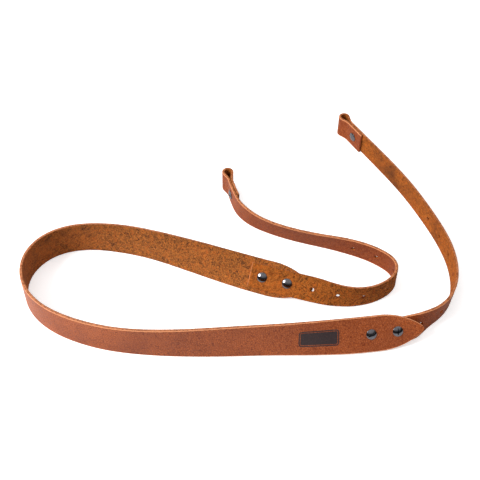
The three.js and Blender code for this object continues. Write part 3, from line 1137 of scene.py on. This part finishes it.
def plain_stamp(w, along, across, centre):
    """A bare dark plate with a thin line round its inside."""
    distance = placed_group(
        w, GROUPS["plate"], Along=w.minus(along, centre), Across=across,
        Length=STAMP_LENGTH, Width=STAMP_WIDTH, Corner=STAMP_CORNER,
    )["Distance"]
    plate = w.span(distance, -STAMP_FADE, STAMP_FADE, 1.0, 0.0)
    line = w.span(w.math("ABSOLUTE", w.plus(distance, STAMP_INSET)), *STAMP_LINE, 1.0, 0.0)
    return w.times(plate, w.minus(1.0, w.times(line, STAMP_LINE_SHARE)))


def leather_material(name, coarse, shine, narrow=False, stamp_at=None, dark_patches=()):
    """Saddle leather that tells its grain side, napped side and raw edges by their attributes."""
    material, w, principled, spot = shader(name)
    side, rim, along, across = (attribute(w, label) for label in ("side", "rim", "along", "across"))
    coarseness = w.span(along, *coarse, 0.15, 1.0)
    pebble = placed_group(w, GROUPS["pebble"], Vector=spot, Cell=PEBBLE)
    nap = placed_group(w, GROUPS["nap"], Vector=spot, Tuft=TUFT, Coarse=coarseness)
    clouds = placed_group(w, GROUPS["clouds"], Vector=spot, Patch=TAN_PATCH, Fleck=TAN_FLECK)
    flecks = clouds["Flecks"]

    tanned = w.scaled(clouds["Clouds"], 0.5, 0.4)
    grain = w.mix(tanned, rgb("grain_dark"), rgb("grain"))
    if narrow:
        grain = w.mix(STRAP_DEPTH, grain, rgb("grain_dark"))
    grain = w.mix(w.times(flecks, FLECK_SHARE), grain, rgb("grain_light"))
    # Painted shade: the creases between the pebbles are darkened towards the dark grain colour
    grain = w.mix(w.times(pebble["Creases"], CREASE_SHADE_SHARE), grain, rgb("grain_dark"))
    if stamp_at is not None:
        rubbed = w.span(w.noise(spot, 1 / (0.9 * MM), 4.0, 0.7), 0.3, 0.42)
        mask = plain_stamp(w, along, across, stamp_at)
        mask = w.times(mask, w.scaled(rubbed, 0.2, 0.78))
        grain = w.mix(mask, grain, rgb("stamp"))

    patchy = w.scaled(clouds["Clouds"], -1.0, 2.0)
    flesh = w.mix(w.times(clouds["Clouds"], TAN_IN_FLESH), rgb("flesh"), rgb("grain"))
    # Dark mottling, and painted shade in the nap's pits
    flesh = w.mix(w.times(nap["Hollows"], patchy), flesh, rgb("flesh_dark"))
    # Painted highlight on the nap's raised strands
    flesh = w.mix(nap["Strands"], flesh, rgb("flesh_light"))
    # Darker patches on the flesh side, each round a place along the strap
    for place, reach, strength in dark_patches:
        near = w.span(w.math("ABSOLUTE", w.minus(along, place)), 0.0, reach, 1.0, 0.0)
        patch = w.span(w.noise(spot, 1 / (reach / 3), 3.0, 0.55), 0.36, 0.58)
        flesh = w.mix(w.times(near, patch, strength), flesh, rgb("dark_patch"))

    uneven = w.minus(flecks, 0.5)
    sway = w.plus(side, w.times(uneven, 0.5))
    raw = w.mix(w.span(sway, *RAW_TO_FUZZY), rgb("edge"), rgb("edge_dark"))
    raw = w.mix(w.times(nap["Strands"], w.span(sway, 0.0, 0.6)), raw, rgb("flesh"))
    surface = w.mix(w.span(sway, -0.1, 0.1), grain, flesh)
    wear = w.span(w.plus(rim, w.times(uneven, 0.3)), *WORN_RIM)
    surface = w.mix(w.times(wear, w.span(side, 0.2, 0.95, 1.0, 0.0)), surface, raw)
    if narrow:
        outside = w.most(w.math("ABSOLUTE", side), rim)
        cut_end = w.span(along, *CUT_END, CUT_END_SHARE, 0.0)
        surface = w.mix(w.times(cut_end, outside), surface, rgb("edge"))

    flesh_share = w.span(side, -0.2, 0.5)
    rough = w.plus(w.scaled(flesh_share, 0.42, 0.42), w.times(flecks, 0.12))
    pebbles = w.times(pebble["Height"], w.minus(1.0, flesh_share))
    tufts = w.times(nap["Height"], NAP_LIFT, flesh_share)
    bump = w.node("ShaderNodeBump", {
        "Strength": BUMP_STRENGTH, "Distance": BUMP_HEIGHT, "Height": w.plus(pebbles, tufts),
    })
    finish_shader(w, principled, {
        "Base Color": surface, "Roughness": rough, "Normal": bump.outputs[0],
        "Specular IOR Level": shine,
    })
    return material


def fibre_material():
    material, w, principled, spot = shader("loose_fibres")
    tone = w.span(w.noise(spot, 1 / (3 * MM), 3.0), 0.35, 0.65)
    finish_shader(w, principled, {
        "Base Color": w.mix(tone, rgb("flesh"), rgb("flesh_light")),
        "Roughness": w.scaled(tone, 0.15, 0.75),
    })
    return material


def metal_material():
    """Polished black nickel with faint turning marks and handling scratches."""
    material, w, principled, spot = shader("black_nickel")
    clouds = placed_group(w, GROUPS["clouds"], Vector=spot, Patch=3 * MM, Fleck=0.4 * MM)
    stretched = w.vector("MULTIPLY", spot, (1.0, 0.12, 1.0))
    scratched = w.noise(stretched, 1 / (0.12 * MM), 3.0, 0.6)
    marks = w.span(scratched, 0.6, 0.72)
    tone = w.mix(w.times(clouds["Clouds"], 0.3), rgb("metal"), DARK_METAL)
    tone = w.mix(w.times(marks, 0.35), tone, BRIGHT_METAL)
    rough = w.plus(w.scaled(clouds["Flecks"], 0.1, 0.1), w.times(marks, 0.15))
    bump = w.node("ShaderNodeBump", {
        "Strength": 0.2, "Distance": 0.01 * MM, "Height": scratched,
    })
    finish_shader(w, principled, {
        "Base Color": tone, "Roughness": rough, "Normal": bump.outputs[0], "Metallic": 1.0,
    })
    return material


TREES = {}
GROUPS = {}
MATERIALS = {}


def layout():
    scene = bpy.context.scene
    return Layout(scene.strap_sizes, scene.screw_sizes)


class STRAP_OT_prepare(bpy.types.Operator):
    """Makes the node trees and materials that the pieces share"""

    bl_idname = "strap.prepare"
    bl_label = "Prepare trees and materials"

    def execute(self, context):
        TREES.update(strip=strip_tree(), punch=punch_tree(), fibres=fibre_tree(), placed=placed_tree())
        GROUPS.update(
            pebble=pebble_group(), nap=nap_group(), clouds=clouds_group(), plate=plate_group(),
        )
        MATERIALS.update(
            band=leather_material("band_leather", COARSE["band"], BAND_SHINE, stamp_at=STAMP_PLACE),
            left=leather_material("left_strap_leather", COARSE["left"], STRAP_SHINE, narrow=True),
            right=leather_material(
                "right_strap_leather", COARSE["right"], STRAP_SHINE, narrow=True,
                dark_patches=RIGHT_DARK_PATCHES,
            ),
            fibre=fibre_material(),
            metal=metal_material(),
        )
        return {"FINISHED"}


def hole(frame_at, radius):
    """Centre, direction and radius of a hole through the leather at a frame."""
    centre, _, _, flesh = frame_at
    return centre, flesh, radius


def barrel_hole():
    screws = bpy.context.scene.screw_sizes
    return screws.barrel_diameter / 2 + screws.clearance


class STRAP_OT_neck_band(bpy.types.Operator):
    """Makes the wide neck band with its pointed ends"""

    bl_idname = "strap.neck_band"
    bl_label = "Neck band"

    def execute(self, context):
        sizes = context.scene.strap_sizes
        plan = layout()
        radius = sizes.nose_radius
        nose = [radius * (1 - math.cos(math.pi / 2 * k / NOSE_STEPS)) for k in range(NOSE_STEPS)]
        body = spaced(radius, sizes.band_length - radius, sizes.cell)
        places = nose + body + [sizes.band_length - place for place in reversed(nose)]
        stations = [(along, plan.band_frame(along)) for along in places]
        halves = [plan.half_width(along) for along in places]
        holes = []
        for side in plan.sides:
            for i in range(len(LAP_SLOTS[side])):
                along = plan.under_strap(side, sizes.end_margin + i * sizes.hole_pitch)
                holes.append(hole(plan.band_frame(along), barrel_hole()))
        piece = strip(
            "neck_band_leather", stations, halves, sizes.band_width, sizes.band_thickness,
            False, holes, MATERIALS["band"], COARSE["band"], SEED,
        )
        kept(piece, "neck_band")
        return {"FINISHED"}


class STRAP_OT_narrow_straps(bpy.types.Operator):
    """Makes the two narrow straps with their holes and end loops"""

    bl_idname = "strap.narrow_straps"
    bl_label = "Narrow straps"

    def execute(self, context):
        sizes = context.scene.strap_sizes
        plan = layout()
        for side in plan.sides:
            stations = with_drawn_ends(plan.strap_stations(side, sizes.cell))
            holes = []
            for i in range(HOLE_COUNT):
                place = plan.strap_frame(side, sizes.end_margin + i * sizes.hole_pitch)
                spare = i >= len(LAP_SLOTS[side])
                holes.append(hole(place, sizes.hole_diameter / 2 if spare else barrel_hole()))
            holes.append(hole(plan.strap_frame(side, plan.loop_screw(side)), barrel_hole()))
            piece = strip(
                f"{side}_strap_leather", stations, [sizes.strap_width / 2] * len(stations),
                sizes.strap_width, sizes.strap_thickness, True, holes, MATERIALS[side],
                COARSE[side], SEED + plan.sides[side],
            )
            kept(piece, f"{side}_strap")
        return {"FINISHED"}


def with_drawn_ends(stations):
    """Adds close stations at both ends, where the leather is rounded off."""
    first, second = stations[0], stations[1]
    last, before = stations[-1], stations[-2]
    shares = [END_ROUNDING * (1 - math.cos(math.pi / 2 * k / END_STEPS)) for k in range(1, END_STEPS)]
    start = [between(first, second, share) for share in shares]
    end = [between(last, before, share) for share in shares]
    return [first] + start + stations[1:-1] + end[::-1] + [last]


def between(one, other, distance):
    share = distance / abs(other[0] - one[0])
    along = one[0] + share * (other[0] - one[0])
    mixed = [a + share * (b - a) for a, b in zip(one[1], other[1])]
    return along, (mixed[0], *(part / np.linalg.norm(part) for part in mixed[1:]))


class STRAP_OT_fibres(bpy.types.Operator):
    """Scatters loose fibres on the napped sides and cut edges"""

    bl_idname = "strap.fibres"
    bl_label = "Loose fibres"

    def execute(self, context):
        slots = {
            "neck_band": "band_leather", "left_strap": "strap_leather", "right_strap": "strap_leather",
        }
        for name, slot in slots.items():
            piece = linked(f"{name}_fibres", bpy.data.objects[f"{name}_leather"].data.copy())
            grown(piece, TREES["fibres"], {
                "Density": FIBRE_DENSITY, "Length": context.scene.strap_sizes.fibre_length,
                "Seed": SEED, "Fibre": MATERIALS["fibre"],
            })
            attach(piece, "root")
        return {"FINISHED"}


def lathed(name, outline, sides):
    """A closed shape turned about Z from an outline that starts and ends on the axis."""
    made = bmesh.new()
    rings = []
    for radius, height in outline:
        turns = np.linspace(0, 2 * math.pi, sides, endpoint=False) if radius else (0.0,)
        rings.append([
            made.verts.new((radius * math.cos(turn), radius * math.sin(turn), height))
            for turn in turns
        ])
    for one, other in zip(rings, rings[1:]):
        for k in range(sides):
            corners = [
                one[k % len(one)], one[(k + 1) % len(one)],
                other[(k + 1) % len(other)], other[k % len(other)],
            ]
            made.faces.new(list(dict.fromkeys(corners)))
    mesh = written(made, bpy.data.meshes.new(name))
    mesh.shade_smooth()
    return linked(name, mesh)


def rounded(outline, radius, steps):
    """An outline with its inner corners rounded off, apart from its two ends."""
    made = [outline[0]]
    for before, corner, after in zip(outline, outline[1:], outline[2:]):
        before, corner, after = np.array(before), np.array(corner), np.array(after)
        back, ahead = np.linalg.norm(before - corner), np.linalg.norm(after - corner)
        reach = min(radius, back / 3, ahead / 3)
        start = corner + (before - corner) / back * reach
        end = corner + (after - corner) / ahead * reach
        for k in range(steps + 1):
            t = k / steps
            made.append(tuple((1 - t) ** 2 * start + 2 * t * (1 - t) * corner + t ** 2 * end))
    made.append(outline[-1])
    return made


def dome_outline(sizes):
    """From the top of the dome down to the upright rim's foot."""
    radius = sizes.head_diameter / 2
    rise = sizes.head_height - sizes.head_rim
    dome = (radius ** 2 + rise ** 2) / (2 * rise)
    reach = math.asin(radius / dome)
    arc = [
        (dome * math.sin(a), sizes.head_height - dome * (1 - math.cos(a)))
        for a in np.linspace(0, reach, DOME_STEPS)
    ]
    arc[-1] = (radius, sizes.head_rim)
    return arc + [(radius, 0)]


def post_shape(sizes, stack):
    """A plain domed head, and the barrel that it has on its underside."""
    barrel, bore = sizes.barrel_diameter / 2, sizes.bore_diameter / 2
    foot = -(stack - sizes.seat)
    outline = dome_outline(sizes) + [
        (barrel, 0), (barrel, foot), (bore, foot), (bore, -sizes.clearance), (0, -sizes.clearance),
    ]
    return lathed("post_shape", softened(outline), HEAD_SIDES)


def softened(outline):
    """A head's outline with all its corners past the dome rounded off."""
    arc, rest = outline[:DOME_STEPS - 1], outline[DOME_STEPS - 2:]
    return arc[:-1] + rounded(rest, SOFT_EDGE, SOFT_STEPS)


def slot_cutter(sizes, turn):
    """A long bar with a flared top, which cuts a driver slot."""
    half_width = sizes.slot_width / 2
    flared = half_width + 3 * SOFT_EDGE
    eased = sizes.head_height - 2 * SOFT_EDGE
    floor = sizes.head_height - sizes.slot_depth
    top = sizes.head_height * 2
    profile = (
        (-half_width, floor), (half_width, floor), (half_width, eased), (flared, top),
        (-flared, top), (-half_width, eased),
    )
    made = bmesh.new()
    ends = [
        [made.verts.new((x, y, z)) for y, z in profile]
        for x in (-sizes.head_diameter, sizes.head_diameter)
    ]
    made.faces.new(ends[0])
    made.faces.new(ends[1][::-1])
    for k in range(len(profile)):
        j = (k + 1) % len(profile)
        made.faces.new((ends[0][k], ends[1][k], ends[1][j], ends[0][j]))
    spin = Matrix.Rotation(math.radians(turn), 3, "Z")
    bmesh.ops.rotate(made, cent=(0, 0, 0), matrix=spin, verts=made.verts)
    return linked("slot_cutter", written(made, bpy.data.meshes.new("slot_cutter")))


def screw_shape(sizes, stack, slot_turn):
    """A domed head with a driver slot, and the shank on its underside."""
    shank = sizes.shank_diameter / 2
    foot = sizes.clearance - stack
    outline = dome_outline(sizes) + [(shank, 0), (shank, foot), (0, foot)]
    head = lathed("screw_shape", softened(outline), HEAD_SIDES)
    cutter = slot_cutter(sizes, slot_turn)
    cut = head.modifiers.new("slot", "BOOLEAN")
    cut.operation = "DIFFERENCE"
    cut.solver = "EXACT"
    cut.object = cutter
    edge = head.modifiers.new("lips", "BEVEL")
    edge.width = LIP_WIDTH
    edge.segments = 2
    edge.limit_method = "ANGLE"
    edge.angle_limit = math.radians(LIP_ANGLE)
    shape = evaluated(head)
    shape.shade_smooth()
    shape.set_sharp_from_angle(angle=math.radians(SHARP_ANGLE))
    removed(cutter)
    return head


class STRAP_OT_screws(bpy.types.Operator):
    """Makes the two-part screws of the laps and loops"""

    bl_idname = "strap.screws"
    bl_label = "Two-part screws"

    def execute(self, context):
        sizes = context.scene.screw_sizes
        metal = MATERIALS["metal"]
        seat = sizes.clearance - sizes.seat
        for name, grain, up, flesh, stack, slot_turn in layout().fasteners():
            shapes = {
                "post": (post_shape(sizes, stack), grain + flesh * (stack + seat), flesh),
                "screw": (screw_shape(sizes, stack, slot_turn), grain - flesh * seat, -flesh),
            }
            for kind, (shape, place, out) in shapes.items():
                piece = point_cloud(f"{name}_{kind}_metal", [place], out=[out], up=[up])
                grown(piece, TREES["placed"], {"Shape": shape, "Metal": metal})
                dressed(piece, metal)
                kept(piece, f"{name}_{kind}")
                removed(shape)
        return {"FINISHED"}


class STRAP_OT_camera(bpy.types.Operator):
    """Puts the camera at the photograph's view"""

    bl_idname = "strap.camera"
    bl_label = "Camera"

    def execute(self, context):
        data = bpy.data.cameras.new("camera")
        data.lens = LENS
        data.clip_start = 0.01
        data.clip_end = 20
        camera = linked("camera", data)
        tilt = math.radians(ELEVATION)
        camera.location = Vector(AIM) + DISTANCE * Vector((0, -math.cos(tilt), math.sin(tilt)))
        camera.rotation_euler = (math.pi / 2 - tilt, 0, 0)
        context.scene.camera = camera
        return {"FINISHED"}


class STRAP_OT_stage(bpy.types.Operator):
    """Makes the pale floor, the key light and the soft room"""

    bl_idname = "strap.stage"
    bl_label = "Floor and lights"

    def execute(self, context):
        half = FLOOR_SIZE / 2
        corners = [(x * half, y * half, FLOOR_LEVEL) for x, y in ((-1, -1), (1, -1), (1, 1), (-1, 1))]
        mesh = bpy.data.meshes.new("floor")
        mesh.from_pydata(corners, [], [(0, 1, 2, 3)])
        floor = linked("floor", mesh)
        mesh.materials.append(floor_material())
        lamp = bpy.data.lights.new("key_light", "AREA")
        lamp.shape = "DISK"
        lamp.size = KEY_WIDTH
        lamp.energy = KEY_POWER
        lamp.color = KEY_TONE
        light = linked("key_light", lamp)
        light.location = KEY_PLACE
        light.rotation_euler = (-Vector(KEY_PLACE)).to_track_quat("-Z", "Y").to_euler()
        context.scene.world = soft_room()
        context.scene.view_settings.view_transform = "Standard"
        return {"FINISHED"}


def floor_material():
    """Matt pale paper, lifted towards white for the camera alone."""
    material, w, principled, spot = shader("pale_floor")
    paper = w.span(w.noise(spot, 1 / (60 * MM), 3.0), 0.3, 0.7)
    pale = rgb("floor")
    shade = tuple(FLOOR_SHADE * value for value in pale[:3]) + (1.0,)
    seen = w.node("ShaderNodeLightPath").outputs["Is Camera Ray"]
    finish_shader(w, principled, {
        "Base Color": w.mix(paper, shade, pale), "Roughness": 0.9, "Specular IOR Level": 0.1,
        "Emission Color": w.mix(seen, BLACK, WHITE), "Emission Strength": FLOOR_LIFT,
    })
    return material


def soft_room():
    """A pale room: bright overhead and dim low down in front. The camera itself sees it all pale."""
    world = bpy.data.worlds.new("soft_room")
    world.use_nodes = True
    world.node_tree.nodes.clear()
    w = Wiring(world.node_tree)
    way = w.node("ShaderNodeSeparateXYZ", {0: w.node("ShaderNodeTexCoord").outputs["Generated"]})
    overhead = w.span(way.outputs[2], 0.35, 0.85, DIM_LIGHT, BRIGHT_LIGHT)
    light = w.plus(overhead, w.span(way.outputs[1], -0.3, 0.5, 0.0, BACK_LIGHT))
    seen = w.node("ShaderNodeLightPath").outputs["Is Camera Ray"]
    background = w.node("ShaderNodeBackground", {
        "Color": WHITE, "Strength": w.plus(w.times(light, w.minus(1.0, seen)), seen),
    })
    w.node("ShaderNodeOutputWorld", {0: background.outputs[0]})
    return world


class STRAP_PT_panel(bpy.types.Panel):
    """Lists the strap's pieces"""

    bl_idname = "STRAP_PT_panel"
    bl_label = "Neck strap"
    bl_space_type = "VIEW_3D"
    bl_region_type = "UI"
    bl_category = "Strap"

    def draw(self, context):
        for step in STEPS:
            self.layout.operator(f"strap.{step}")
        scene = context.scene
        for group in (scene.strap_sizes, scene.screw_sizes, scene.strap_colours):
            box = self.layout.box()
            for label in group.bl_rna.properties.keys():
                if label not in {"rna_type", "name"}:
                    box.prop(group, label)


STEPS = ("prepare", "camera", "neck_band", "narrow_straps", "fibres", "screws", "stage")
CLASSES = (
    LeatherSizes, ScrewSizes, StrapColours, STRAP_OT_prepare, STRAP_OT_camera, STRAP_OT_neck_band,
    STRAP_OT_narrow_straps, STRAP_OT_fibres, STRAP_OT_screws, STRAP_OT_stage, STRAP_PT_panel,
)


def register():
    for kind in CLASSES:
        bpy.utils.register_class(kind)
    bpy.types.Scene.strap_sizes = bpy.props.PointerProperty(type=LeatherSizes)
    bpy.types.Scene.screw_sizes = bpy.props.PointerProperty(type=ScrewSizes)
    bpy.types.Scene.strap_colours = bpy.props.PointerProperty(type=StrapColours)


def unregister():
    del bpy.types.Scene.strap_sizes
    del bpy.types.Scene.screw_sizes
    del bpy.types.Scene.strap_colours
    for kind in reversed(CLASSES):
        bpy.utils.unregister_class(kind)


def main():
    register()
    for step in STEPS:
        getattr(bpy.ops.strap, step)()


if __name__ == "__main__":
    main()
